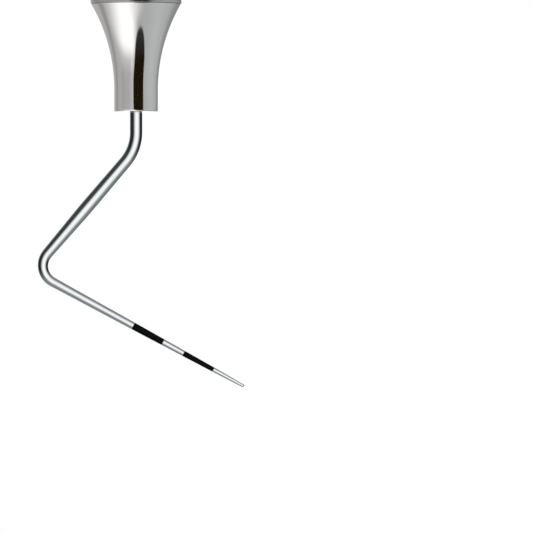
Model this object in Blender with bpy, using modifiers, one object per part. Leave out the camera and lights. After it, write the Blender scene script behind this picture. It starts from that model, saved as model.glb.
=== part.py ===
"""Double-ended dental instrument: a graduated probe and a hooked explorer on one round handle.

Each working end is a bent, tapered wire brazed into a trumpet-shaped cone. The cone screws into a
threaded bushing pressed into the end of the handle, over an O-ring, so that a worn tip can be
replaced.

The handle stands along Z with its middle at the origin, explorer up and probe down. Both wires lie
in the XZ plane. The pieces of each end are modelled in that end's own frame, whose origin is the
middle of the bushing's outer face and whose +Z points out of the handle along its axis.
"""

import math

import bmesh
import bpy

MM = 0.001

# handle
HANDLE_LENGTH = 98.0 * MM
HANDLE_RADIUS = 3.95 * MM
TUBE_WALL = 0.80 * MM
GRIP_START = 5.0 * MM
GRIP_LENGTH = 27.0 * MM
GROOVE_WIDTH = 0.80 * MM
GROOVE_DEPTH = 0.25 * MM

# bushing pressed into each end of the tube
FLANGE_THICKNESS = 1.20 * MM
BUSHING_LENGTH = 8.90 * MM
BORE_DEPTH = 5.70 * MM
MOUTH_RADIUS = 2.30 * MM
MOUTH_DEPTH = 0.35 * MM

# right-hand thread between a bushing and its cone
THREAD_PITCH = 0.80 * MM
THREAD_CREST_RADIUS = 2.00 * MM
THREAD_DEPTH = 0.40 * MM
THREAD_START = 0.45 * MM
THREAD_END = 5.25 * MM
STUD_LENGTH = 4.95 * MM
ROWS_PER_PITCH = 6

# cone, from its wide back face to its narrow front face
CONE_LENGTH = 9.40 * MM
CONE_NECK_RADIUS = 1.90 * MM
CONE_NECK_LENGTH = 1.90 * MM
CONE_FLARE_RADIUS = 14.95 * MM
CONE_FRONT_ROUND = 0.25 * MM
CONE_BACK_CHAMFER = 0.06 * MM
SHANK_BORE_RADIUS = 0.56 * MM
TANG_LENGTH = 6.00 * MM

# O-ring and the recess for it in the cone's back face
SEAL_RADIUS = 2.62 * MM
SEAL_THICKNESS = 0.64 * MM
RECESS_OUTER_RADIUS = 3.05 * MM
PILOT_RADIUS = 2.20 * MM
PILOT_LENGTH = 0.15 * MM

# wires, as a bender would make them: (straight run, bend radius, bend angle) from the cone's front
# face on, where a positive bend turns towards +X
PROBE_BENDS = (
    (1.79 * MM, 4.00 * MM, math.radians(-40.4)),
    (10.46 * MM, 1.62 * MM, math.radians(101.8)),
    (18.98 * MM, 0.0, 0.0),
)
EXPLORER_BENDS = (
    (12.03 * MM, 2.50 * MM, math.radians(41.6)),
    (5.22 * MM, 4.80 * MM, math.radians(-131.1)),
    (1.92 * MM, 8.00 * MM, math.radians(-5.4)),
    (2.27 * MM, 0.0, 0.0),
)

# wire diameters at distances from the tip
PROBE_TAPER = (
    (0.0, 0.26 * MM),
    (3.0 * MM, 0.41 * MM),
    (6.0 * MM, 0.50 * MM),
    (11.0 * MM, 0.645 * MM),
    (18.0 * MM, 0.79 * MM),
    (21.0 * MM, 0.91 * MM),
    (27.0 * MM, 1.16 * MM),
    (32.0 * MM, 1.08 * MM),
)
EXPLORER_TAPER = (
    (0.0, 0.07 * MM),
    (1.2 * MM, 0.27 * MM),
    (2.5 * MM, 0.44 * MM),
    (4.5 * MM, 0.53 * MM),
    (9.5 * MM, 0.53 * MM),
    (13.0 * MM, 0.62 * MM),
    (18.0 * MM, 0.76 * MM),
    (24.0 * MM, 0.84 * MM),
    (35.0 * MM, 1.00 * MM),
)
PROBE_TIP_ROUND = 0.11 * MM

# black bands, inlaid in shallow grooves of the probe and named by their ends' distances from its tip
BANDS = (
    ("marking_band_3_6", 3.0 * MM, 6.0 * MM),
    ("marking_band_8_11", 8.0 * MM, 11.0 * MM),
)
BAND_GROOVE_DEPTH = 0.060 * MM
BAND_GAP = 0.020 * MM

# running and face clearances
THREAD_CLEARANCE = 0.10 * MM
FACE_GAP = 0.04 * MM
PRESS_GAP = 0.04 * MM

TURN_STEPS = 32
WIRE_POINT_ANGLE = math.radians(8.0)
FLARE_STEPS = 12
MERGE_DISTANCE = 1e-6

SEAT_HEIGHT = HANDLE_LENGTH / 2


def clear_scene():
    for item in list(bpy.data.objects):
        bpy.data.objects.remove(item, do_unlink=True)


def make_material(name, colour, metallic, roughness):
    material = bpy.data.materials.new(name)
    material.use_nodes = True
    shader = material.node_tree.nodes["Principled BSDF"]
    shader.inputs["Base Color"].default_value = (*colour, 1.0)
    shader.inputs["Metallic"].default_value = metallic
    shader.inputs["Roughness"].default_value = roughness
    return material


def add_part(collection, name, data, material, parent=None):
    part = bpy.data.objects.new(name, data)
    data.materials.append(material)
    part.parent = parent
    collection.objects.link(part)
    return part


def add_end(collection, name, height, flip):
    """The empty that an end's pieces hang on: +Z out of the handle, +X the same way as the world's."""
    end = bpy.data.objects.new(name, None)
    end.location.z = height
    end.rotation_euler.x = flip
    end.empty_display_size = 5 * MM
    collection.objects.link(end)
    return end


def profile_mesh(name, profile, closed):
    """Edges through (radius, height) points, for a Screw modifier to turn about Z."""
    mesh = bpy.data.meshes.new(name)
    points = [(radius, 0.0, height) for radius, height in profile]
    edges = [(i, i + 1) for i in range(len(points) - 1)]
    if closed:
        edges.append((len(points) - 1, 0))
    mesh.from_pydata(points, edges, [])
    return mesh


def turn(part, steps=TURN_STEPS):
    screw = part.modifiers.new("turn", "SCREW")
    screw.steps = steps
    screw.render_steps = steps
    screw.use_merge_vertices = True
    screw.merge_threshold = MERGE_DISTANCE


def bake(part):
    """Put the evaluated mesh in place of the mesh and its modifiers."""
    depsgraph = bpy.context.evaluated_depsgraph_get()
    mesh = bpy.data.meshes.new_from_object(part.evaluated_get(depsgraph))
    part.modifiers.clear()
    part.data = mesh


def smooth(part):
    part.data.shade_smooth()
    part.data.set_sharp_from_angle(angle=math.radians(35))


def thread_rows(start, end):
    """Heights of a thread's rows of points, from end up to start."""
    count = round((end - start) / THREAD_PITCH * ROWS_PER_PITCH)
    return [-end + (end - start) * i / count for i in range(count + 1)]


def cut_thread(part, start, end, root, crest):
    """Move a baked turning's points onto a right-hand thread, which fades to its root at both ends."""
    for vertex in part.data.vertices:
        x, y, z = vertex.co
        radius = math.hypot(x, y)
        if not (-end <= z <= -start and PRESS_GAP < radius < MOUTH_RADIUS):
            continue
        wave = 0.5 + 0.5 * math.cos(math.tau * z / THREAD_PITCH - math.atan2(y, x))
        rise = wave if crest > root else 1 - wave
        fade = min(1.0, 2 * (-start - z) / THREAD_PITCH, 2 * (z + end) / THREAD_PITCH)
        scale = (root + (crest - root) * rise * max(fade, 0.0)) / radius
        vertex.co = (x * scale, y * scale, z)


def groove(lower, upper):
    """A tube profile's points down one groove's walls, from its upper edge to its lower edge."""
    depth = HANDLE_RADIUS - GROOVE_DEPTH
    return [(HANDLE_RADIUS, upper), (depth, upper), (depth, lower), (HANDLE_RADIUS, lower)]


def make_handle_tube(collection, material):
    """The hollow barrel, with a groove at each end of its two grips."""
    half = SEAT_HEIGHT - FLANGE_THICKNESS - FACE_GAP
    inner = HANDLE_RADIUS - TUBE_WALL
    grip_edges = (half - GRIP_START, half - GRIP_START - GRIP_LENGTH)
    centres = [*grip_edges, *(-edge for edge in reversed(grip_edges))]
    profile = [(HANDLE_RADIUS, half)]
    for centre in centres:
        profile += groove(centre - GROOVE_WIDTH / 2, centre + GROOVE_WIDTH / 2)
    profile += [(HANDLE_RADIUS, -half), (inner, -half), (inner, half)]
    tube = add_part(collection, "handle_tube", profile_mesh("handle_tube", profile, True), material)
    turn(tube)
    bake(tube)
    smooth(tube)


def make_bushing(collection, name, material, end):
    """A flanged plug for the tube's end, with a blind threaded hole."""
    bore = THREAD_CREST_RADIUS + THREAD_CLEARANCE
    body = HANDLE_RADIUS - TUBE_WALL - PRESS_GAP
    chamfer = 0.30 * MM
    edge = 0.10 * MM
    profile = [(0.0, -BORE_DEPTH), (bore, -BORE_DEPTH)]
    profile += [(bore, height) for height in thread_rows(THREAD_START, THREAD_END)]
    profile += [
        (MOUTH_RADIUS, -MOUTH_DEPTH),
        (MOUTH_RADIUS, 0.0),
        (HANDLE_RADIUS - edge, 0.0),
        (HANDLE_RADIUS, -edge),
        (HANDLE_RADIUS, -FLANGE_THICKNESS),
        (body, -FLANGE_THICKNESS),
        (body, -BUSHING_LENGTH + chamfer),
        (body - chamfer, -BUSHING_LENGTH),
        (0.0, -BUSHING_LENGTH),
    ]
    bushing = add_part(collection, name, profile_mesh(name, profile, False), material, end)
    turn(bushing)
    bake(bushing)
    cut_thread(bushing, THREAD_START, THREAD_END, bore, bore - THREAD_DEPTH)
    smooth(bushing)


def flare():
    """A cone's outer profile from its neck down the concave flare to its wide back."""
    run = CONE_LENGTH - CONE_NECK_LENGTH - CONE_BACK_CHAMFER
    points = []
    for i in range(FLARE_STEPS + 1):
        drop = run * i / FLARE_STEPS
        swell = CONE_FLARE_RADIUS - math.sqrt(CONE_FLARE_RADIUS**2 - drop**2)
        points.append((CONE_NECK_RADIUS + swell, CONE_LENGTH - CONE_NECK_LENGTH - drop))
    return points


def make_cone(collection, name, material, end):
    """The trumpet with its bore for the wire in front, and its recess, pilot and stud behind."""
    root = THREAD_CREST_RADIUS - THREAD_DEPTH
    bore_floor = CONE_LENGTH - TANG_LENGTH - FACE_GAP
    recess_floor = FACE_GAP + SEAL_THICKNESS + FACE_GAP
    corner = CONE_FRONT_ROUND * (1 - math.sqrt(0.5))
    outer = flare()
    back_radius = outer[-1][0]
    nose_radius = root - 0.35 * MM
    profile = [
        (0.0, bore_floor),
        (SHANK_BORE_RADIUS, bore_floor),
        (SHANK_BORE_RADIUS, CONE_LENGTH),
        (CONE_NECK_RADIUS - CONE_FRONT_ROUND, CONE_LENGTH),
        (CONE_NECK_RADIUS - corner, CONE_LENGTH - corner),
        (CONE_NECK_RADIUS, CONE_LENGTH - CONE_FRONT_ROUND),
    ]
    profile += outer
    profile += [
        (back_radius - CONE_BACK_CHAMFER, FACE_GAP),
        (RECESS_OUTER_RADIUS, FACE_GAP),
        (RECESS_OUTER_RADIUS, recess_floor),
        (PILOT_RADIUS, recess_floor),
        (PILOT_RADIUS, -PILOT_LENGTH),
        (root, -PILOT_LENGTH),
    ]
    thread_end = STUD_LENGTH - 0.20 * MM
    profile += [(root, height) for height in reversed(thread_rows(THREAD_START, thread_end))]
    profile += [(nose_radius, -STUD_LENGTH), (0.0, -STUD_LENGTH)]
    cone = add_part(collection, name, profile_mesh(name, profile, False), material, end)
    turn(cone)
    bake(cone)
    cut_thread(cone, THREAD_START, thread_end, root, THREAD_CREST_RADIUS)
    smooth(cone)


def make_seal(collection, name, material, end):
    """The O-ring, lying in the recess in the cone's back face."""
    bpy.ops.mesh.primitive_torus_add(
        major_radius=SEAL_RADIUS,
        minor_radius=SEAL_THICKNESS / 2,
        major_segments=TURN_STEPS,
        minor_segments=8,
    )
    torus = bpy.context.object
    seal = add_part(collection, name, torus.data, material, end)
    seal.location.z = FACE_GAP + SEAL_THICKNESS / 2
    bpy.data.objects.remove(torus)
    seal.data.shade_smooth()


def radius_at(taper, distance):
    """A wire's radius at a distance from its tip, on straight lines between the taper's stations."""
    for (near, thin), (far, thick) in zip(taper, taper[1:]):
        if distance <= far:
            return (thin + (thick - thin) * (distance - near) / (far - near)) / 2
    return taper[-1][1] / 2


def wire_length(bends):
    return sum(run + radius * abs(angle) for run, radius, angle in bends)


def wire_place(bends, travelled):
    """(x, z, heading) of the centre line at a length travelled from the cone's front face."""
    x, z, heading = 0.0, CONE_LENGTH, 0.0
    for run, radius, angle in bends:
        step = min(travelled, run)
        x += step * math.sin(heading)
        z += step * math.cos(heading)
        travelled -= step
        if travelled <= 0 or not angle:
            break
        side = math.copysign(radius, angle)
        turned = min(travelled / radius, abs(angle)) * math.copysign(1, angle)
        x += side * (math.cos(heading) - math.cos(heading + turned))
        z += side * (math.sin(heading + turned) - math.sin(heading))
        heading += turned
        travelled -= radius * abs(turned)
        if abs(turned) < abs(angle):
            break
    return x, z, heading


def wire_stations(bends, taper):
    """Lengths travelled at which a wire needs points: its bends, closely, and its taper's stations."""
    total = wire_length(bends)
    stations = {total - distance for distance, _ in taper if distance < total}
    travelled = 0.0
    for run, radius, angle in bends:
        travelled += run
        stations.add(travelled)
        count = math.ceil(abs(angle) / WIRE_POINT_ANGLE)
        stations |= {travelled + radius * abs(angle) * i / count for i in range(1, count)}
        travelled += radius * abs(angle)
    return stations


def make_wire(collection, name, bends, points, material, end):
    """A bent wire through (length travelled, radius) points, with its straight tang behind them."""
    curve = bpy.data.curves.new(name, "CURVE")
    curve.dimensions = "3D"
    curve.bevel_depth = 1.0
    curve.bevel_resolution = 2
    curve.use_fill_caps = True
    spline = curve.splines.new("POLY")
    spline.points.add(len(points) - 1)
    for point, (travelled, radius) in zip(spline.points, points):
        x, z, _ = wire_place(bends, max(travelled, 0.0))
        point.co = (x, 0.0, z + min(travelled, 0.0), 1.0)
        point.radius = radius
    guide = add_part(collection, name + "_curve", curve, material, end)
    depsgraph = bpy.context.evaluated_depsgraph_get()
    mesh = bpy.data.meshes.new_from_object(guide.evaluated_get(depsgraph))
    bpy.data.objects.remove(guide)
    bm = bmesh.new()
    bm.from_mesh(mesh)
    bmesh.ops.remove_doubles(bm, verts=bm.verts, dist=MERGE_DISTANCE)
    bmesh.ops.recalc_face_normals(bm, faces=bm.faces)
    bm.to_mesh(mesh)
    bm.free()
    mesh.materials.clear()
    smooth(add_part(collection, name, mesh, material, end))


def make_probe_shank(collection, material, end):
    """The twice-bent wire, with a rounded tip and a shallow groove for each band."""
    total = wire_length(PROBE_BENDS)
    tang = radius_at(PROBE_TAPER, total)
    points = [(-TANG_LENGTH, tang), (0.0, tang)]
    for travelled in sorted(wire_stations(PROBE_BENDS, PROBE_TAPER)):
        distance = total - travelled
        on_band = any(near <= distance <= far for _, near, far in BANDS)
        if not on_band and distance > PROBE_TIP_ROUND:
            points.append((travelled, radius_at(PROBE_TAPER, distance)))
    wall = 0.005 * MM
    for _, near, far in BANDS:
        for edge, outside in ((far, wall), (near, -wall)):
            radius = radius_at(PROBE_TAPER, edge)
            points.append((total - edge - outside, radius))
            points.append((total - edge, radius - BAND_GROOVE_DEPTH))
    tip = radius_at(PROBE_TAPER, PROBE_TIP_ROUND)
    for angle in (0, 30, 55, 75):
        reach = PROBE_TIP_ROUND * math.sin(math.radians(angle))
        points.append((total - PROBE_TIP_ROUND + reach, tip * math.cos(math.radians(angle))))
    make_wire(collection, "probe_shank", PROBE_BENDS, sorted(points), material, end)


def make_explorer_shank(collection, material, end):
    """The wire bent out and round into a hook, tapering to a sharp point."""
    total = wire_length(EXPLORER_BENDS)
    tang = radius_at(EXPLORER_TAPER, total)
    points = [(-TANG_LENGTH, tang), (0.0, tang)]
    for travelled in sorted(wire_stations(EXPLORER_BENDS, EXPLORER_TAPER)):
        points.append((travelled, radius_at(EXPLORER_TAPER, total - travelled)))
    make_wire(collection, "explorer_shank", EXPLORER_BENDS, points, material, end)


def make_band(collection, name, near, far, material, end):
    """A thin black sleeve in its groove, placed from the probe's tip back along its last run."""
    slack = BAND_GAP / 2
    profile = []
    for distance, depth in ((near, 0.0), (far, 0.0), (far, BAND_GROOVE_DEPTH), (near, BAND_GROOVE_DEPTH)):
        inset = slack + BAND_GAP if distance == near else -slack - BAND_GAP
        clearance = BAND_GAP if depth else 0.0
        radius = radius_at(PROBE_TAPER, distance) - depth + clearance
        profile.append((radius, -distance - inset))
    band = add_part(collection, name, profile_mesh(name, profile, True), material, end)
    x, z, heading = wire_place(PROBE_BENDS, wire_length(PROBE_BENDS))
    band.location = (x, 0.0, z)
    band.rotation_euler.y = heading
    turn(band, steps=12)
    bake(band)
    smooth(band)


def main():
    clear_scene()
    collection = bpy.data.collections.new("double_ended_scriber")
    bpy.context.scene.collection.children.link(collection)

    satin_steel = make_material("satin_steel", (0.55, 0.54, 0.52), 1.0, 0.35)
    bushing_steel = make_material("bushing_steel", (0.50, 0.49, 0.47), 1.0, 0.30)
    polished_steel = make_material("polished_steel", (0.72, 0.72, 0.71), 1.0, 0.10)
    wire_steel = make_material("wire_steel", (0.66, 0.66, 0.66), 1.0, 0.16)
    seal_rubber = make_material("seal_rubber", (0.03, 0.03, 0.03), 0.0, 0.60)
    band_black = make_material("band_black", (0.012, 0.012, 0.013), 0.0, 0.40)

    make_handle_tube(collection, satin_steel)
    probe_end = add_end(collection, "probe_end", -SEAT_HEIGHT, math.pi)
    explorer_end = add_end(collection, "explorer_end", SEAT_HEIGHT, 0.0)
    for kind, end in (("probe", probe_end), ("explorer", explorer_end)):
        make_bushing(collection, kind + "_end_bushing", bushing_steel, end)
        make_seal(collection, kind + "_end_seal", seal_rubber, end)
        make_cone(collection, kind + "_cone", polished_steel, end)
    make_probe_shank(collection, wire_steel, probe_end)
    for name, near, far in BANDS:
        make_band(collection, name, near, far, band_black, probe_end)
    make_explorer_shank(collection, wire_steel, explorer_end)


main()
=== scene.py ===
"""The looks of the double-ended dental instrument: finely turned metal, bent wires and black bands.

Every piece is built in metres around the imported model, in whose frame the handle stands along Z with
its middle at the origin, explorer up and probe down. The pieces of each end are worked out in that
end's own frame, whose origin is the middle of the bushing's outer face and whose +Z points out of the
handle. Creases, the wire tips' step and the directions of the studio's lights are in degrees.
"""

import math

import bpy
import numpy as np
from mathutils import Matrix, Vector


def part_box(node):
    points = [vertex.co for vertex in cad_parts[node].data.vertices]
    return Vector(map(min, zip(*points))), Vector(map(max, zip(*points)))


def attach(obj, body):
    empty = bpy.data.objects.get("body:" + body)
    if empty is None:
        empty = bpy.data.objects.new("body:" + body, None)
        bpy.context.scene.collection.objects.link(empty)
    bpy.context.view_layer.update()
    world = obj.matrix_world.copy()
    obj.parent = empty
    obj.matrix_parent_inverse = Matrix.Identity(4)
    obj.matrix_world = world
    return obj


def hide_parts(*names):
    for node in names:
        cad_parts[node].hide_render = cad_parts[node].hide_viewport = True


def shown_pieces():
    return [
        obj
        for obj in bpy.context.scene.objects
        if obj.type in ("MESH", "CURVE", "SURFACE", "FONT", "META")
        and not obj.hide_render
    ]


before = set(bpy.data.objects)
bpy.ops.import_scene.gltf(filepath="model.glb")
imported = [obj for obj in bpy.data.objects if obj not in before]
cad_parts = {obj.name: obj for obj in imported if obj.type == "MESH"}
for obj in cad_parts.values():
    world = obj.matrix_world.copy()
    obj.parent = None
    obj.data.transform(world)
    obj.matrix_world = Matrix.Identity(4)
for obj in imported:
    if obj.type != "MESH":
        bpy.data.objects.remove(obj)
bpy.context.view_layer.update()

MM = 0.001
MICRON = 1e-6

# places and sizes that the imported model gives
SEAT_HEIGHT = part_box("explorer_end_bushing")[1].z
HANDLE_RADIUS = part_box("handle_tube")[1].x
TUBE_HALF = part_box("handle_tube")[1].z
CONE_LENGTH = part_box("explorer_cone")[1].z - SEAT_HEIGHT
STUD_LENGTH = SEAT_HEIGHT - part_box("explorer_cone")[0].z
BUSHING_LENGTH = SEAT_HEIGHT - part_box("explorer_end_bushing")[0].z
SEAL_LOW, SEAL_HIGH = (corner.z - SEAT_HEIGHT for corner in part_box("explorer_end_seal"))
SEAL_OUTER_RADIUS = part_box("explorer_end_seal")[1].x
TANG_LENGTH = CONE_LENGTH - (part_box("explorer_shank")[0].z - SEAT_HEIGHT)

# handle
TUBE_WALL = 0.80 * MM
GRIP_START = 5.0 * MM
GRIP_LENGTH = 27.0 * MM
GROOVE_WIDTH = 0.80 * MM
GROOVE_DEPTH = 0.25 * MM
EDGE_ROUND = 0.10 * MM
KNURLS_ROUND = 24
KNURLS_ALONG = 16
KNURL_STEPS = 6
KNURL_DEPTH = 0.20 * MM
KNURL_FLAT = 1 / 3
KNURL_FADE = 0.25 * MM
HANDLE_STEPS = KNURLS_ROUND * KNURL_STEPS
HANDLE_CREASE = 28

# bushing and the thread inside it
FLANGE_THICKNESS = 1.20 * MM
BORE_DEPTH = 5.70 * MM
MOUTH_RADIUS = 2.30 * MM
MOUTH_FLOOR = 0.38 * MM
MOUTH_CHAMFER_START = 0.23 * MM
BUSHING_ROUND = 0.05 * MM
BUSHING_FACE_ROUND = 0.04 * MM
BUSHING_BACK_ROUND = 0.30 * MM
THREAD_PITCH = 0.80 * MM
THREAD_CREST_RADIUS = 2.00 * MM
THREAD_DEPTH = 0.40 * MM
THREAD_FLAT = 0.10
THREAD_START = 0.45 * MM
THREAD_END = 5.25 * MM
THREAD_CLEARANCE = 0.10 * MM
THREADED_CREASE = 62
ROWS_PER_PITCH = 16
PRESS_GAP = 0.04 * MM
FACE_GAP = 0.015 * MM

# cone
CONE_NECK_RADIUS = 1.90 * MM
CONE_NECK_LENGTH = 1.90 * MM
CONE_FLARE_RADIUS = 14.95 * MM
CONE_FRONT_ROUND = 0.14 * MM
CONE_BACK_ROUND = 0.04 * MM
SHANK_BORE_RADIUS = 0.56 * MM
SHANK_BORE_ROUND = 0.05 * MM
RECESS_OUTER_RADIUS = 3.05 * MM
RECESS_MOUTH_ROUND = 0.03 * MM
RECESS_FLOOR_ROUND = 0.05 * MM
PILOT_RADIUS = 2.20 * MM
PILOT_LENGTH = 0.15 * MM
PILOT_ROUND = 0.04 * MM
STUD_NOSE_LENGTH = 0.20 * MM
STUD_NOSE_DROP = 0.35 * MM
STUD_NOSE_ROUND = 0.08 * MM
TURNED_STEPS = 144
FLARE_ROWS = 48

# O-ring
SEAL_SIDES = 24
SEAL_FLASH = 0.008 * MM
SEAL_FLASH_SHARPNESS = 40

# wires: (straight run, bend radius, bend angle) from the cone's front face on, positive towards +X
PROBE_BENDS = (
    (1.79 * MM, 4.00 * MM, math.radians(-40.4)),
    (10.46 * MM, 1.62 * MM, math.radians(101.8)),
    (18.98 * MM, 0.0, 0.0),
)
EXPLORER_BENDS = (
    (12.03 * MM, 2.50 * MM, math.radians(41.6)),
    (5.22 * MM, 4.80 * MM, math.radians(-131.1)),
    (1.92 * MM, 8.00 * MM, math.radians(-5.4)),
    (2.27 * MM, 0.0, 0.0),
)

# wire diameters at distances from the tip
PROBE_TAPER = (
    (0.0, 0.26 * MM),
    (3.0 * MM, 0.41 * MM),
    (6.0 * MM, 0.50 * MM),
    (11.0 * MM, 0.645 * MM),
    (18.0 * MM, 0.79 * MM),
    (21.0 * MM, 0.91 * MM),
    (27.0 * MM, 1.16 * MM),
    (32.0 * MM, 1.08 * MM),
)
EXPLORER_TAPER = (
    (0.0, 0.07 * MM),
    (1.2 * MM, 0.27 * MM),
    (2.5 * MM, 0.44 * MM),
    (4.5 * MM, 0.53 * MM),
    (9.5 * MM, 0.53 * MM),
    (13.0 * MM, 0.62 * MM),
    (18.0 * MM, 0.76 * MM),
    (24.0 * MM, 0.84 * MM),
    (35.0 * MM, 1.00 * MM),
)
TAPER_BLEND = 0.8 * MM
TAPER_SAMPLES = 9
PROBE_TIP_ROUND = 0.11 * MM
EXPLORER_TIP_ROUND = 0.03 * MM
TIP_STEP = 12
TANG_CHAMFER = 0.1 * MM
TANG_END_SHARE = 0.8
WIRE_ROW = 0.20 * MM
WIRE_SIDES = 28

# black bands, named by their ends' distances from the probe's tip
BANDS = (
    ("marking_band_3_6", 3.0 * MM, 6.0 * MM),
    ("marking_band_8_11", 8.0 * MM, 11.0 * MM),
)
BAND_GROOVE_DEPTH = 0.060 * MM
BAND_GROOVE_WALL = 0.004 * MM
BAND_GAP = 0.020 * MM
BAND_EDGE = 0.012 * MM
BAND_ROWS = 16

# camera and studio
CAMERA_DISTANCE = 0.50
VIEW_WIDTH = 46.43 * MM
VIEW_CENTRE_X = 11.360 * MM
VIEW_DROP = 13.475 * MM
SENSOR_WIDTH = 36.0
FLOOR_HEIGHT = -0.20
FLOOR_RADIUS = 1.5
FLOOR_SIDES = 64
TENT_RADIUS = 2.5
TURNED_TENT_RADIUS = 2.6
SOFTBOX_RADIUS = 2.7
TENT_STEP = 1.5

# the tent's dark opening for the camera: its middle, how far that leans, its size and its glow
OPENING_AZIMUTH = 13.2
OPENING_LEAN = 4.8
OPENING_HALF_WIDTH = 26.5
OPENING_HALF_HEIGHT = 40.5
OPENING_SQUARENESS = 2.2
OPENING_GLOW = 0.010
OPENING_TOP_GLOW = 0.028

# the tent's other lights, as glow and colour
LEFT_GLOW = 0.52
RIGHT_GLOW = 0.54
SHEET_GLOW = 1.42
BACKDROP_GLOW = 1.30
LEFT_TINT = (1.012, 1.0, 0.985)
RIGHT_TINT = (0.985, 1.0, 1.01)
OPENING_TINT = (1.5, 1.0, 0.35)

# the wires' lights
SOFTBOX_AZIMUTH = 16
SOFTBOX_LEAN = 10
SOFTBOX_GLOW = 1.47
SOFTBOX_TINT = (0.975, 1.0, 1.0)
SIDE_GLOW = 0.03
BELOW_GLOW = 0.30
ABOVE_GLOW = 0.26
BACK_GLOW = 0.50
DIM_TINT = (0.87, 1.0, 1.09)


# ---------------------------------------------------------------------------------------- meshes


def place_end(points, upward):
    """Points of an end's own frame, in the whole model's: the probe's end hangs upside down."""
    points = np.asarray(points, float)
    if upward:
        return points + (0, 0, SEAT_HEIGHT)
    return points * (1, -1, -1) - (0, 0, SEAT_HEIGHT)


def add_piece(name, points, faces, material, body, node, crease=38):
    """A mesh that stands for a CAD node and rides on its body. Edges past crease degrees stay sharp."""
    mesh = bpy.data.meshes.new(name)
    mesh.from_pydata([tuple(p) for p in points], [], faces)
    mesh.validate()
    mesh.materials.append(material)
    mesh.shade_smooth()
    mesh.set_sharp_from_angle(angle=math.radians(crease))
    piece = bpy.data.objects.new(name, mesh)
    bpy.context.scene.collection.objects.link(piece)
    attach(piece, body)
    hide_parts(node)
    return piece


def grid_faces(rows, sides, closed):
    """Quads between rows of points that each go once round, and between the last and first if closed."""
    count = rows if closed else rows - 1
    faces = []
    for i in range(count):
        low, high = i * sides, (i + 1) % rows * sides
        for j in range(sides):
            after = (j + 1) % sides
            faces.append((low + j, low + after, high + after, high + j))
    return faces


def fan(pole, first, sides, ahead):
    """Triangles from a pole to the ring of points that starts at first, wound either way."""
    ring = [(first + j, first + (j + 1) % sides) for j in range(sides)]
    return [(pole, a, b) if ahead else (pole, b, a) for a, b in ring]


def lathe(profile, sides, shape=None, closed=False):
    """Points and faces of a (radius, height) profile turned about Z.

    A profile end at radius 0 becomes a single point. shape(radius, angle, height) may change radii."""
    profile = [(0.0 if r < MICRON else r, z) for r, z in profile]
    tip = [profile.pop(0)] if profile[0][0] == 0 else []
    tail = [profile.pop()] if profile[-1][0] == 0 else []
    angles = np.arange(sides) * math.tau / sides
    radii = np.repeat([[r] for r, _ in profile], sides, 1)
    heights = np.repeat([[z] for _, z in profile], sides, 1)
    if shape:
        radii = shape(radii, angles[None, :], heights)
    points = np.stack([radii * np.cos(angles), radii * np.sin(angles), heights], -1).reshape(-1, 3)
    faces = grid_faces(len(profile), sides, closed)
    for ends, first in ((tip, 0), (tail, (len(profile) - 1) * sides)):
        for _, height in ends:
            points = np.vstack([points, (0, 0, height)])
            faces += fan(len(points) - 1, first, sides, ahead=first > 0)
    return points, faces


def outward(points, faces):
    """The same faces, all turned so that the mesh's volume is positive."""
    corners = np.array([points[list(f[:3])] for f in faces])
    volume = np.einsum("ij,ij->i", corners[:, 0], np.cross(corners[:, 1], corners[:, 2])).sum()
    return faces if volume > 0 else [f[::-1] for f in faces]


def rounded(corners, steps=5):
    """A profile of (radius, height, rounding) corners, each rounded with an arc of that radius."""
    points = []
    for i, (r, z, rounding) in enumerate(corners):
        here = np.array((r, z))
        if not rounding:
            points.append(here)
            continue
        before = np.array(corners[i - 1][:2]) - here
        after = np.array(corners[(i + 1) % len(corners)][:2]) - here
        before, after = before / np.linalg.norm(before), after / np.linalg.norm(after)
        half = math.acos(float(np.clip(before @ after, -1, 1))) / 2
        middle = (before + after) / np.linalg.norm(before + after)
        centre = here + middle * rounding / math.sin(half)
        start, end = (here + side * rounding / math.tan(half) - centre for side in (before, after))
        turn = math.pi - 2 * half
        for k in range(steps + 1):
            t = k / steps
            arc = start * math.sin((1 - t) * turn) + end * math.sin(t * turn)
            points.append(centre + arc / math.sin(turn))
    return [tuple(p) for p in points]


def rows_between(low, high, spacing):
    """Evenly spaced heights from low to high, at most that far apart."""
    return np.linspace(low, high, math.ceil(abs(high - low) / spacing) + 1)


# --------------------------------------------------------------------------------------- threads


def thread_shape(end_depth, root, crest):
    """A right-hand thread between radii root and crest, cut from THREAD_START down to end_depth.

    Its crests and roots are flat over THREAD_FLAT of half a pitch on each side. crest may be less than
    root, as in a bore, whose thread then clears the stud's all round."""

    def shape(radii, angles, heights):
        turns = heights / THREAD_PITCH - angles / math.tau
        ramp = 2 * np.abs(turns - np.round(turns))
        ridge = np.clip((1 - ramp - THREAD_FLAT) / (1 - 2 * THREAD_FLAT), 0, 1)
        rise = ridge if crest > root else 1 - ridge
        fade = np.minimum(2 * (-THREAD_START - heights), 2 * (heights + end_depth)) / THREAD_PITCH
        cut = root + (crest - root) * rise * np.clip(fade, 0, 1)
        inside = (heights <= -THREAD_START) & (heights >= -end_depth) & (np.abs(radii - root) < MICRON)
        return np.where(inside, cut, radii)

    return shape


def thread_heights(end_depth):
    return rows_between(-end_depth, -THREAD_START, THREAD_PITCH / ROWS_PER_PITCH)


# ---------------------------------------------------------------------------------------- pieces


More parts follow.
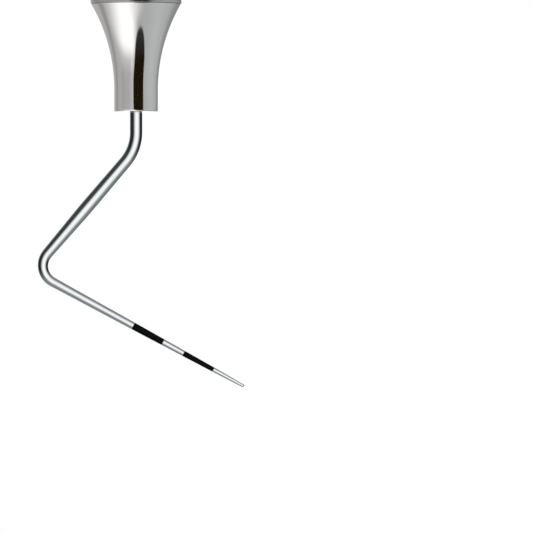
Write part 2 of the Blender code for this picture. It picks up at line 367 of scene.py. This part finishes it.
def knurl_shape(grips):
    """A diamond knurl between the (low, high) heights of each grip: two families of helical V cuts.

    Between the cuts the diamonds keep a flat top, KNURL_FLAT of a diamond wide."""

    def shape(radii, angles, heights):
        deep = np.zeros_like(radii)
        for low, high in grips:
            turns = (high - heights) / (high - low) * KNURLS_ALONG
            cuts = [angles * KNURLS_ROUND / math.tau + way * turns for way in (1, -1)]
            ridge = np.minimum(*(2 * np.abs(cut - np.round(cut)) for cut in cuts))
            fade = np.clip(np.minimum(heights - low, high - heights) / KNURL_FADE, 0, 1)
            deep = np.maximum(deep, fade * (1 - np.clip(ridge / (1 - KNURL_FLAT), 0, 1)))
        outer = radii > HANDLE_RADIUS - MICRON
        return np.where(outer, radii - KNURL_DEPTH * deep, radii)

    return shape


def split_knurls(points, faces, grips):
    """The faces, with those of the grips cut in two along whichever diagonal the knurl's edges follow."""
    row = (grips[0][1] - grips[0][0]) / (KNURLS_ALONG * KNURL_STEPS)
    split = []
    for a, b, c, d in faces:
        bottom, top = sorted(points[[a, d], 2])
        tops = [high for low, high in grips if bottom > low - MICRON and top < high + MICRON]
        if not tops or math.hypot(*points[a, :2]) < HANDLE_RADIUS - KNURL_DEPTH - MICRON:
            split.append((a, b, c, d))
            continue
        along = round((tops[0] - top) / row)
        falling = (a % HANDLE_STEPS + along) % 2 == 0
        split += [(a, b, c), (a, c, d)] if falling else [(a, b, d), (b, c, d)]
    return split


def groove_corners(centre):
    """The handle's corners across one square groove, from above it to below it."""
    half = GROOVE_WIDTH / 2
    floor = HANDLE_RADIUS - GROOVE_DEPTH
    return [
        (HANDLE_RADIUS, centre + half + EDGE_ROUND, 0),
        (HANDLE_RADIUS, centre + half, EDGE_ROUND / 2),
        (floor, centre + half, EDGE_ROUND / 2),
        (floor, centre - half, EDGE_ROUND / 2),
        (HANDLE_RADIUS, centre - half, EDGE_ROUND / 2),
        (HANDLE_RADIUS, centre - half - EDGE_ROUND, 0),
    ]


def build_handle(material):
    """The barrel: plain between its grips, which are knurled between two grooves each."""
    inner = HANDLE_RADIUS - TUBE_WALL
    reach = GROOVE_WIDTH / 2 + EDGE_ROUND
    high = TUBE_HALF - GRIP_START
    low = high - GRIP_LENGTH
    grips = [(low + reach, high - reach), (reach - high, -reach - low)]
    corners = [(inner, TUBE_HALF, EDGE_ROUND / 2), (HANDLE_RADIUS, TUBE_HALF, EDGE_ROUND / 2)]
    for top, bottom in ((high, low), (-low, -high)):
        knurled = np.linspace(top - reach, bottom + reach, KNURLS_ALONG * KNURL_STEPS + 1)[1:-1]
        corners += groove_corners(top)
        corners += [(HANDLE_RADIUS, float(z), 0) for z in knurled]
        corners += groove_corners(bottom)
    corners += [(HANDLE_RADIUS, -TUBE_HALF, EDGE_ROUND / 2), (inner, -TUBE_HALF, EDGE_ROUND / 2)]
    points, faces = lathe(rounded(corners), HANDLE_STEPS, knurl_shape(grips), closed=True)
    faces = outward(points, split_knurls(points, faces, grips))
    name, slot = "handle_barrel", "handle_satin_steel"
    add_piece(name, points, faces, material, "handle", "handle_tube", HANDLE_CREASE)


def build_bushing(kind, material):
    """The flanged plug in the tube's end, with its blind threaded hole."""
    bore = THREAD_CREST_RADIUS + THREAD_CLEARANCE
    body = HANDLE_RADIUS - TUBE_WALL - PRESS_GAP
    corners = [
        *((bore, z, 0) for z in thread_heights(THREAD_END)),
        (bore, -MOUTH_FLOOR, 0),
        (MOUTH_RADIUS, -MOUTH_CHAMFER_START, 0),
        (MOUTH_RADIUS, 0.0, BUSHING_ROUND),
        (HANDLE_RADIUS, 0.0, BUSHING_FACE_ROUND),
        (HANDLE_RADIUS, -FLANGE_THICKNESS, BUSHING_ROUND),
        (body, -FLANGE_THICKNESS, 0),
        (body, -BUSHING_LENGTH, BUSHING_BACK_ROUND),
        (0.0, -BUSHING_LENGTH, 0),
    ]
    profile = [(0.0, -BORE_DEPTH), (bore, -BORE_DEPTH), *rounded(corners)]
    shape = thread_shape(THREAD_END, bore, bore - THREAD_DEPTH)
    points, faces = lathe(profile, TURNED_STEPS, shape)
    points = place_end(points, kind == "explorer")
    faces = outward(points, faces)
    name, node, slot = kind + "_bushing_turned", kind + "_end_bushing", "bushing_steel"
    add_piece(name, points, faces, material, "handle", node, THREADED_CREASE)


def flare_profile():
    """(radius, height) points down the concave flare, from the neck to the wide back face."""
    neck = CONE_LENGTH - CONE_NECK_LENGTH
    points = []
    for height in np.linspace(neck, FACE_GAP, FLARE_ROWS):
        swell = CONE_FLARE_RADIUS - math.sqrt(CONE_FLARE_RADIUS**2 - (neck - height) ** 2)
        points.append((CONE_NECK_RADIUS + swell, float(height)))
    return points


def build_cone(kind, material):
    """The polished trumpet, its bore for the wire, and behind it the seal's recess and the stud."""
    root = THREAD_CREST_RADIUS - THREAD_DEPTH
    bore_floor = CONE_LENGTH - TANG_LENGTH - FACE_GAP
    recess_floor = SEAL_HIGH + FACE_GAP
    thread_end = STUD_LENGTH - STUD_NOSE_LENGTH
    flare = flare_profile()
    corners = [
        (SHANK_BORE_RADIUS, bore_floor, 0),
        (SHANK_BORE_RADIUS, CONE_LENGTH, SHANK_BORE_ROUND),
        (CONE_NECK_RADIUS, CONE_LENGTH, CONE_FRONT_ROUND),
        *((r, z, 0) for r, z in flare[:-1]),
        (*flare[-1], CONE_BACK_ROUND),
        (RECESS_OUTER_RADIUS, FACE_GAP, RECESS_MOUTH_ROUND),
        (RECESS_OUTER_RADIUS, recess_floor, RECESS_FLOOR_ROUND),
        (PILOT_RADIUS, recess_floor, RECESS_FLOOR_ROUND),
        (PILOT_RADIUS, -PILOT_LENGTH, PILOT_ROUND),
        (root, -PILOT_LENGTH, 0),
        *((root, z, 0) for z in thread_heights(thread_end)[::-1]),
        (root - STUD_NOSE_DROP, -STUD_LENGTH, STUD_NOSE_ROUND),
        (0.0, -STUD_LENGTH, 0),
    ]
    profile = [(0.0, bore_floor), *rounded(corners)]
    points, faces = lathe(profile, TURNED_STEPS, thread_shape(thread_end, root, THREAD_CREST_RADIUS))
    points = place_end(points, kind == "explorer")
    faces = outward(points, faces)
    name, node, slot = kind + "_cone_polished", kind + "_cone", "cone_polished_steel"
    add_piece(name, points, faces, material, kind + "_tip", node, THREADED_CREASE)


def build_seal(kind, material):
    """The O-ring, with the fine flash lines of its mould round the outside and the inside."""
    thickness = SEAL_HIGH - SEAL_LOW
    centre_radius = SEAL_OUTER_RADIUS - thickness / 2
    centre_height = (SEAL_LOW + SEAL_HIGH) / 2
    profile = []
    for angle in np.arange(SEAL_SIDES) * math.tau / SEAL_SIDES:
        reach = thickness / 2 - SEAL_FLASH * (1 - math.cos(angle) ** SEAL_FLASH_SHARPNESS)
        across, up = reach * math.cos(angle), reach * math.sin(angle)
        profile.append((centre_radius + across, centre_height + up))
    points, faces = lathe(profile, TURNED_STEPS, closed=True)
    points = place_end(points, kind == "explorer")
    faces = outward(points, faces)
    name, node, slot = kind + "_o_ring", kind + "_end_seal", "seal_rubber"
    add_piece(name, points, faces, material, kind + "_seal", node)


# ----------------------------------------------------------------------------------------- wires


def wire_length(bends):
    return sum(run + radius * abs(angle) for run, radius, angle in bends)


def wire_place(bends, travelled):
    """(x, z, heading) of the centre line at a length travelled from the cone's front face."""
    x, z, heading = 0.0, CONE_LENGTH, 0.0
    for run, radius, angle in bends:
        straight = min(travelled, run)
        x += straight * math.sin(heading)
        z += straight * math.cos(heading)
        travelled -= straight
        if travelled <= 0 or not angle:
            break
        side = math.copysign(radius, angle)
        turned = min(travelled / radius, abs(angle)) * math.copysign(1, angle)
        x += side * (math.cos(heading) - math.cos(heading + turned))
        z += side * (math.sin(heading + turned) - math.sin(heading))
        heading += turned
        travelled -= radius * abs(turned)
        if abs(turned) < abs(angle):
            break
    return x, z, heading


def taper_radius(taper, distance):
    """A wire's radius at a distance from its tip, with the taper's corners blended."""
    reach = min(TAPER_BLEND, distance)
    spots = np.linspace(distance - reach, distance + reach, TAPER_SAMPLES)
    return float(np.interp(spots, *zip(*taper)).mean()) / 2


def sweep(bends, stations):
    """Points and faces of a round wire through (length travelled, radius) stations.

    The last two points close its ends. A negative length is behind the cone's front face."""
    angles = np.arange(WIRE_SIDES) * math.tau / WIRE_SIDES
    rings = []
    ends = []
    for travelled, radius in stations:
        x, z, heading = wire_place(bends, max(travelled, 0.0))
        z += min(travelled, 0.0)
        across = np.array((math.cos(heading), 0.0, -math.sin(heading)))
        side = np.array((0.0, 1.0, 0.0))
        centre = np.array((x, 0.0, z))
        ring = centre + radius * (np.cos(angles)[:, None] * across + np.sin(angles)[:, None] * side)
        rings.append(ring)
        ends.append(centre)
    count = len(rings)
    points = np.vstack([*rings, ends[0], ends[-1]])
    faces = grid_faces(count, WIRE_SIDES, closed=False)
    faces += fan(count * WIRE_SIDES, 0, WIRE_SIDES, ahead=False)
    faces += fan(count * WIRE_SIDES + 1, (count - 1) * WIRE_SIDES, WIRE_SIDES, ahead=True)
    return points, faces


def tip_stations(total, tip_round, taper):
    """The rounded end of a wire, as a quarter circle of stations."""
    radius = taper_radius(taper, tip_round)
    angles = np.radians(np.arange(0, 90, TIP_STEP))
    return [(total - tip_round + tip_round * math.sin(a), radius * math.cos(a)) for a in angles]


def wire_stations(bends, taper, tip_round):
    """(length travelled, radius) stations of a wire from the back of its tang to its tip."""
    total = wire_length(bends)
    tang = taper_radius(taper, total)
    stations = [(-TANG_LENGTH, tang * TANG_END_SHARE), (-TANG_LENGTH + TANG_CHAMFER, tang)]
    for travelled in rows_between(0.0, total - tip_round, WIRE_ROW)[:-1]:
        stations.append((float(travelled), taper_radius(taper, total - travelled)))
    return stations + tip_stations(total, tip_round, taper)


def cut_band_grooves(stations):
    """The probe's stations, with a shallow groove where each band lies."""
    total = wire_length(PROBE_BENDS)
    kept = [s for s in stations if not any(near <= total - s[0] <= far for _, near, far in BANDS)]
    for _, near, far in BANDS:
        for edge, outside in ((far, BAND_GROOVE_WALL), (near, -BAND_GROOVE_WALL)):
            radius = taper_radius(PROBE_TAPER, edge)
            kept.append((total - edge - outside, radius))
            kept.append((total - edge, radius - BAND_GROOVE_DEPTH))
    return sorted(kept)


def build_wire(kind, bends, stations, material):
    """A wire from the back of its tang in the cone to its tip."""
    points, faces = sweep(bends, stations)
    points = place_end(points, kind == "explorer")
    faces = outward(points, faces)
    name, node, slot = kind + "_wire", kind + "_shank", "wire_steel"
    add_piece(name, points, faces, material, kind + "_tip", node)


def build_band(node, near, far, material):
    """A black inlaid sleeve with softly rounded edges, flush with the wire on both sides of it."""
    total = wire_length(PROBE_BENDS)
    back, front = total - far + BAND_GAP, total - near - BAND_GAP
    outer = [(s, taper_radius(PROBE_TAPER, total - s)) for s in np.linspace(back, front, BAND_ROWS)]
    sleeve = [(back, outer[0][1] - BAND_EDGE), (back + BAND_EDGE, outer[0][1]), *outer[1:-1]]
    sleeve += [(front - BAND_EDGE, outer[-1][1]), (front, outer[-1][1] - BAND_EDGE)]
    depth = BAND_GROOVE_DEPTH - BAND_GAP
    sleeve += [(front, outer[-1][1] - depth), (back, outer[0][1] - depth)]
    points, _ = sweep(PROBE_BENDS, sleeve)
    points = place_end(points[:-2], upward=False)
    faces = outward(points, grid_faces(len(sleeve), WIRE_SIDES, closed=True))
    add_piece(node + "_inlay", points, faces, material, "probe_tip", node)


# ------------------------------------------------------------------------------------- materials


class Surface:
    """A material whose node tree is built by short calls. Lengths are in metres."""

    def __init__(self, name):
        self.material = bpy.data.materials.new(name)
        self.material.use_nodes = True
        self.tree = self.material.node_tree
        self.shader = self.tree.nodes["Principled BSDF"]
        self.place = self.node("TexCoord").outputs["Object"]

    def node(self, kind, inputs=None, **settings):
        made = self.tree.nodes.new("ShaderNode" + kind)
        for name, value in settings.items():
            setattr(made, name, value)
        for name, value in (inputs or {}).items():
            if isinstance(value, bpy.types.NodeSocket):
                self.tree.links.new(value, made.inputs[name])
            else:
                made.inputs[name].default_value = value
        return made

    def stretched(self, x, y, z):
        """The piece's own coordinates, each multiplied."""
        inputs = {0: self.place, 1: (x, y, z)}
        return self.node("VectorMath", inputs, operation="MULTIPLY").outputs[0]

    def noise(self, size, detail=3.0, roughness=0.55, vector=None):
        """Noise from 0 to 1 with patches of about that size."""
        inputs = {
            "Vector": vector or self.place,
            "Scale": 1 / size,
            "Detail": detail,
            "Roughness": roughness,
        }
        return self.node("TexNoise", inputs).outputs["Fac"]

    def rings(self, size, detail=2.0):
        """Noise that changes only along Z, as a turning tool's marks do."""
        height = self.node("SeparateXYZ", {0: self.place}).outputs["Z"]
        inputs = {"W": height, "Scale": 1 / size, "Detail": detail, "Roughness": 0.6}
        return self.node("TexNoise", inputs, noise_dimensions="1D").outputs["Fac"]

    def spread(self, value, low, high, to_low, to_high):
        """value from low..high to to_low..to_high, clamped and eased at both ends."""
        inputs = {0: value, 1: low, 2: high, 3: to_low, 4: to_high}
        return self.node("MapRange", inputs, interpolation_type="SMOOTHSTEP").outputs[0]

    def blend(self, factor, low, high):
        """A colour between two."""
        made = self.node("Mix", data_type="RGBA")
        self.tree.links.new(factor, made.inputs[0])
        for slot, colour in ((6, low), (7, high)):
            if isinstance(colour, bpy.types.NodeSocket):
                self.tree.links.new(colour, made.inputs[slot])
            else:
                made.inputs[slot].default_value = (*colour, 1.0)
        return made.outputs[2]

    def sum(self, first, second, weight):
        """first plus weight times second."""
        inputs = {0: second, 1: weight, 2: first}
        return self.node("Math", inputs, operation="MULTIPLY_ADD").outputs[0]

    def radius(self):
        """Distance from the handle's axis."""
        flat = self.stretched(1, 1, 0)
        return self.node("VectorMath", {0: flat}, operation="LENGTH").outputs["Value"]

    def finish(self, metallic, colour, roughness, height, depth):
        """Connects the three maps; height's range of 0 to 1 stands for depth metres of relief."""
        bump = self.node("Bump", {"Height": height, "Distance": depth, "Strength": 1.0})
        self.shader.inputs["Metallic"].default_value = metallic
        self.tree.links.new(colour, self.shader.inputs["Base Color"])
        self.tree.links.new(roughness, self.shader.inputs["Roughness"])
        self.tree.links.new(bump.outputs[0], self.shader.inputs["Normal"])
        return self.material


def polished_cone_steel():
    """Near-mirror steel with faint smudges, wipe marks along the cone and fine turning rings."""
    look = Surface("polished_cone_steel")
    smudge = look.noise(2.6 * MM, detail=4.0)
    wipe = look.noise(0.9 * MM, vector=look.stretched(1, 1, 0.12))
    colour = look.blend(smudge, (0.745, 0.742, 0.735), (0.700, 0.700, 0.695))
    roughness = look.spread(look.sum(smudge, wipe, 0.6), 0.55, 1.05, 0.050, 0.095)
    relief = look.sum(look.rings(0.16 * MM), look.noise(0.35 * MM), 0.35)
    return look.finish(1.0, colour, roughness, relief, 0.10 * MICRON)


def wire_steel():
    """Bright drawn wire, a little uneven in its polish."""
    look = Surface("drawn_wire_steel")
    patches = look.noise(1.3 * MM, detail=4.0)
    fine = look.noise(0.12 * MM, detail=4.0)
    colour = look.blend(patches, (0.69, 0.69, 0.685), (0.63, 0.63, 0.625))
    roughness = look.spread(look.sum(patches, fine, 0.7), 0.55, 1.15, 0.09, 0.17)
    return look.finish(1.0, colour, roughness, fine, 1.2 * MICRON)


def satin_handle_steel():
    """Fine-turned satin steel, darker and duller in the knurl's valleys."""
    look = Surface("satin_handle_steel")
    radius = look.radius()
    crest = look.spread(radius, HANDLE_RADIUS - KNURL_DEPTH, HANDLE_RADIUS - 0.02 * MM, 0.0, 1.0)
    stain = look.noise(3.5 * MM, detail=5.0)
    lines = look.rings(0.11 * MM, detail=4.0)
    valley = look.blend(stain, (0.36, 0.35, 0.335), (0.27, 0.26, 0.245))
    plain = look.blend(stain, (0.67, 0.66, 0.645), (0.59, 0.58, 0.565))
    colour = look.blend(crest, valley, plain)
    roughness = look.spread(look.sum(stain, crest, -0.55), -0.3, 0.8, 0.25, 0.48)
    return look.finish(1.0, colour, roughness, look.sum(lines, look.noise(0.06 * MM), 0.5), 0.9 * MICRON)


def turned_bushing_steel():
    """Darker turned steel with tool lines and stains."""
    look = Surface("turned_bushing_steel")
    stain = look.noise(1.6 * MM, detail=5.0)
    lines = look.rings(0.09 * MM, detail=3.0)
    colour = look.blend(stain, (0.56, 0.55, 0.53), (0.47, 0.46, 0.44))
    roughness = look.spread(stain, 0.3, 0.7, 0.24, 0.34)
    return look.finish(1.0, colour, roughness, look.sum(lines, look.noise(0.05 * MM), 0.4), 0.8 * MICRON)


def seal_rubber():
    """Black rubber with a grey bloom in patches."""
    look = Surface("seal_rubber")
    bloom = look.noise(0.7 * MM, detail=5.0)
    grain = look.noise(0.03 * MM, detail=3.0)
    bloomed = look.spread(bloom, 0.5, 0.8, 0.0, 1.0)
    colour = look.blend(bloomed, (0.020, 0.020, 0.021), (0.055, 0.054, 0.052))
    roughness = look.spread(bloom, 0.3, 0.7, 0.55, 0.75)
    return look.finish(0.0, colour, roughness, grain, 6.0 * MICRON)


def band_black():
    """Dense black inlay, slightly greyer where it is worn."""
    look = Surface("band_black_inlay")
    wear = look.noise(0.5 * MM, detail=6.0, roughness=0.7)
    grain = look.noise(0.04 * MM, detail=3.0)
    worn = look.spread(wear, 0.62, 0.80, 0.0, 1.0)
    colour = look.blend(worn, (0.0016, 0.0016, 0.0017), (0.012, 0.012, 0.0125))
    roughness = look.spread(wear, 0.3, 0.7, 0.34, 0.50)
    look.shader.inputs["Specular IOR Level"].default_value = 0.06
    return look.finish(0.0, colour, roughness, grain, 1.5 * MICRON)


# ---------------------------------------------------------------------------------------- studio


def step(value, low, high):
    """0 below low and 1 above high, eased between them."""
    t = np.clip((value - low) / (high - low), 0, 1)
    return t * t * (3 - 2 * t)


def peak(value, centre, reach):
    """1 at centre, falling smoothly to 0 about twice reach away from it."""
    return np.exp(-(((value - centre) / reach) ** 2))


def mixed(first, second, share):
    """From first at share 0 to second at share 1."""
    return first * (1 - share) + second * share


def tent_light(azimuth, elevation):
    """What the polished pieces mirror, by direction in degrees: azimuth 0 towards the camera, + right.

    A grey tent with a dark oval opening for the camera, bright sheets above and below on the left, a
    darker seam far round on the left, less light far round on the right and a white strip straight
    behind. Its upper and lower halves are alike."""
    height = np.abs(elevation)

    # grey walls: the left one has a faint shade in its middle, the seam and more light past that
    left = LEFT_GLOW - 0.06 * peak(azimuth, -70, 9) * (1 - step(height, 8, 16))
    left = left - 0.16 * peak(azimuth, -119, 9) + 0.16 * step(-azimuth, 126, 140) * step(height, 10, 45)
    right = RIGHT_GLOW + 0.08 * peak(azimuth, 82, 26) - 0.22 * step(azimuth, 115, 150)
    on_right = step(azimuth, 0, 30)
    grey = mixed(left, right, on_right)

    # the sheets, which narrow towards the top, and a pale edge just left of the opening
    drop = np.clip((height - 44) / 10, 0, 1)
    strength = 0.30 * step(height, 6, 24) + 0.70 * step(height, 16, 29)
    sheet = step(azimuth, -116, -48) * (1 - step(azimuth, -18 - 22 * drop, 14 + 26 * drop)) * strength
    beside_opening = (0.14 + 0.25 * step(height, 8, 17)) * peak(azimuth, -19, 11)
    light = mixed(grey, SHEET_GLOW, np.maximum(sheet, beside_opening))

    # the opening, brown where it is level with the piece, and the strip behind
    aside = np.abs(azimuth - OPENING_AZIMUTH - OPENING_LEAN * step(height, 4, 20)) / OPENING_HALF_WIDTH
    above = height / OPENING_HALF_HEIGHT
    edge = (aside**OPENING_SQUARENESS + above**OPENING_SQUARENESS) ** (1 / OPENING_SQUARENESS)
    in_opening = 1 - step(edge, 0.95, 1.04)
    light = mixed(light, OPENING_GLOW + OPENING_TOP_GLOW * step(height, 16, 36), in_opening)
    behind = step(np.abs(azimuth), 172, 179) * (1 - step(height, 30, 60))
    light = mixed(light, BACKDROP_GLOW, behind)

    tint = mixed(np.array(LEFT_TINT), np.array(RIGHT_TINT), on_right[..., None])
    in_brown = (in_opening * (1 - step(height, 14, 32)))[..., None]
    return light[..., None] * mixed(tint, np.array(OPENING_TINT), in_brown)


def turned_tent_light(azimuth, elevation):
    """The same tent turned half round the line to the camera, for the explorer's end."""
    return tent_light(-azimuth, -elevation)


def wire_light(azimuth, elevation):
    """What the wires mirror: a softbox a little to the right, dark sides and dim light elsewhere."""
    centre = SOFTBOX_AZIMUTH + SOFTBOX_LEAN * step(elevation, 5, 35)
    closeness = np.cos(np.radians(azimuth - centre)) * np.cos(np.radians(elevation))
    off_axis = np.degrees(np.arccos(np.clip(closeness, -1, 1)))
    front = 1 - step(off_axis, 12, 72)
    below = step(-elevation, 12, 48)
    above = step(elevation, 18, 55) * step(azimuth, -50, 10)
    back = step(off_axis, 125, 165)
    side = SIDE_GLOW + 0.04 * step(elevation, 10, 35) + BELOW_GLOW * below + ABOVE_GLOW * above
    dim = (side * (1 - front) + BACK_GLOW * back)[..., None]
    bright = (SOFTBOX_GLOW * front)[..., None]
    return dim * np.array(DIM_TINT) + bright * np.array(SOFTBOX_TINT)


def tent_mesh(name, radius, light):
    """A sphere whose points carry the light of their directions as a colour."""
    azimuths = np.arange(0, 360, TENT_STEP) - 180
    elevations = np.arange(-90 + TENT_STEP, 90, TENT_STEP)
    azimuth, elevation = np.meshgrid(azimuths, elevations)
    a, e = np.radians(azimuth), np.radians(elevation)
    away = np.stack([np.sin(a) * np.cos(e), -np.cos(a) * np.cos(e), np.sin(e)], -1)
    poles = np.array(((0, 0, -1.0), (0, 0, 1.0)))
    points = np.vstack([away.reshape(-1, 3), poles]) * radius
    sides, rows = len(azimuths), len(elevations)
    faces = grid_faces(rows, sides, closed=False)
    faces += fan(rows * sides, 0, sides, ahead=False)
    faces += fan(rows * sides + 1, (rows - 1) * sides, sides, ahead=True)
    mesh = bpy.data.meshes.new(name)
    mesh.from_pydata([tuple(p) for p in points], [], faces)

    colours = light(azimuth, elevation).reshape(-1, 3)
    pole_colours = light(np.array((0.0, 0.0)), np.array((-90.0, 90.0)))
    values = np.hstack([np.vstack([colours, pole_colours]), np.ones((len(points), 1))])
    shade = mesh.attributes.new("light", "FLOAT_COLOR", "POINT")
    shade.data.foreach_set("color", values.astype(np.float32).ravel())
    mesh.shade_smooth()
    return mesh


def glow_material(name):
    """Emits the mesh's own light colour, and lets all other light through."""
    material = bpy.data.materials.new(name)
    material.use_nodes = True
    tree = material.node_tree
    tree.nodes.clear()
    colour = tree.nodes.new("ShaderNodeAttribute")
    colour.attribute_name = "light"
    glow = tree.nodes.new("ShaderNodeEmission")
    clear = tree.nodes.new("ShaderNodeBsdfTransparent")
    both = tree.nodes.new("ShaderNodeAddShader")
    out = tree.nodes.new("ShaderNodeOutputMaterial")
    tree.links.new(colour.outputs["Color"], glow.inputs["Color"])
    tree.links.new(glow.outputs[0], both.inputs[0])
    tree.links.new(clear.outputs[0], both.inputs[1])
    tree.links.new(both.outputs[0], out.inputs["Surface"])
    material.cycles.emission_sampling = "NONE"
    return material


def add_tent(name, radius, light, receivers):
    """A large glowing sphere that only the receivers' reflections see."""
    mesh = tent_mesh(name, radius, light)
    mesh.materials.append(glow_material(name))
    tent = bpy.data.objects.new(name, mesh)
    bpy.context.scene.collection.objects.link(tent)
    tent.visible_camera = False
    tent.visible_diffuse = False
    tent.visible_shadow = False
    group = bpy.data.collections.new(name + "_receivers")
    for piece in receivers:
        group.objects.link(piece)
    tent.light_linking.receiver_collection = group


def add_floor():
    """A plain white disc below the instrument, which the steel doesn't mirror."""
    angles = np.arange(FLOOR_SIDES) * math.tau / FLOOR_SIDES
    points = [(FLOOR_RADIUS * math.cos(a), FLOOR_RADIUS * math.sin(a), FLOOR_HEIGHT) for a in angles]
    mesh = bpy.data.meshes.new("floor")
    mesh.from_pydata(points, [], [tuple(range(FLOOR_SIDES))])
    material = bpy.data.materials.new("floor_white")
    material.use_nodes = True
    shader = material.node_tree.nodes["Principled BSDF"]
    shader.inputs["Base Color"].default_value = (0.97, 0.97, 0.97, 1.0)
    shader.inputs["Roughness"].default_value = 1.0
    shader.inputs["Specular IOR Level"].default_value = 0.0
    shader.inputs["Emission Color"].default_value = (1.0, 1.0, 1.0, 1.0)
    shader.inputs["Emission Strength"].default_value = 0.04
    mesh.materials.append(material)
    floor = bpy.data.objects.new("floor", mesh)
    bpy.context.scene.collection.objects.link(floor)
    floor.visible_glossy = False


def add_world():
    """Even white light from all round, which no reflection shows."""
    world = bpy.data.worlds.new("white_studio")
    bpy.context.scene.world = world
    world.use_nodes = True
    tree = world.node_tree
    sky = tree.nodes["Background"]
    path = tree.nodes.new("ShaderNodeLightPath")
    seen = tree.nodes.new("ShaderNodeMath")
    seen.operation = "SUBTRACT"
    seen.inputs[0].default_value = 1.0
    tree.links.new(path.outputs["Is Glossy Ray"], seen.inputs[1])
    sky.inputs["Color"].default_value = (1.0, 1.0, 1.0, 1.0)
    tree.links.new(seen.outputs[0], sky.inputs["Strength"])


def add_camera():
    """Level with the probe, looking along +Y, as far off as a close-up lens would be."""
    data = bpy.data.cameras.new("camera")
    data.sensor_width = SENSOR_WIDTH
    data.lens = SENSOR_WIDTH * CAMERA_DISTANCE / VIEW_WIDTH
    data.clip_start = 0.01
    data.clip_end = 10.0
    camera = bpy.data.objects.new("camera", data)
    front_face = -SEAT_HEIGHT - CONE_LENGTH
    camera.location = (VIEW_CENTRE_X, -CAMERA_DISTANCE, front_face - VIEW_DROP)
    camera.rotation_euler = (math.pi / 2, 0.0, 0.0)
    bpy.context.scene.collection.objects.link(camera)
    bpy.context.scene.camera = camera


def main():
    build_handle(satin_handle_steel())
    bushing_steel = turned_bushing_steel()
    cone_steel = polished_cone_steel()
    rubber = seal_rubber()
    wire = wire_steel()
    black = band_black()
    for kind in ("probe", "explorer"):
        build_bushing(kind, bushing_steel)
        build_cone(kind, cone_steel)
        build_seal(kind, rubber)
    probe = wire_stations(PROBE_BENDS, PROBE_TAPER, PROBE_TIP_ROUND)
    build_wire("probe", PROBE_BENDS, cut_band_grooves(probe), wire)
    explorer = wire_stations(EXPLORER_BENDS, EXPLORER_TAPER, EXPLORER_TIP_ROUND)
    build_wire("explorer", EXPLORER_BENDS, explorer, wire)
    for node, near, far in BANDS:
        build_band(node, near, far, black)

    # each end has its own tent, and the wires and bands another
    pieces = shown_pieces()
    wires = [piece for piece in pieces if piece.name.endswith(("_wire", "_inlay"))]
    turned = [piece for piece in pieces if piece.name.startswith("explorer_") and piece not in wires]
    others = [piece for piece in pieces if piece not in wires + turned]
    add_tent("tent", TENT_RADIUS, tent_light, others)
    add_tent("turned_tent", TURNED_TENT_RADIUS, turned_tent_light, turned)
    add_tent("softbox", SOFTBOX_RADIUS, wire_light, wires)
    add_floor()
    add_world()
    add_camera()
    bpy.context.scene.view_settings.view_transform = "Standard"


main()
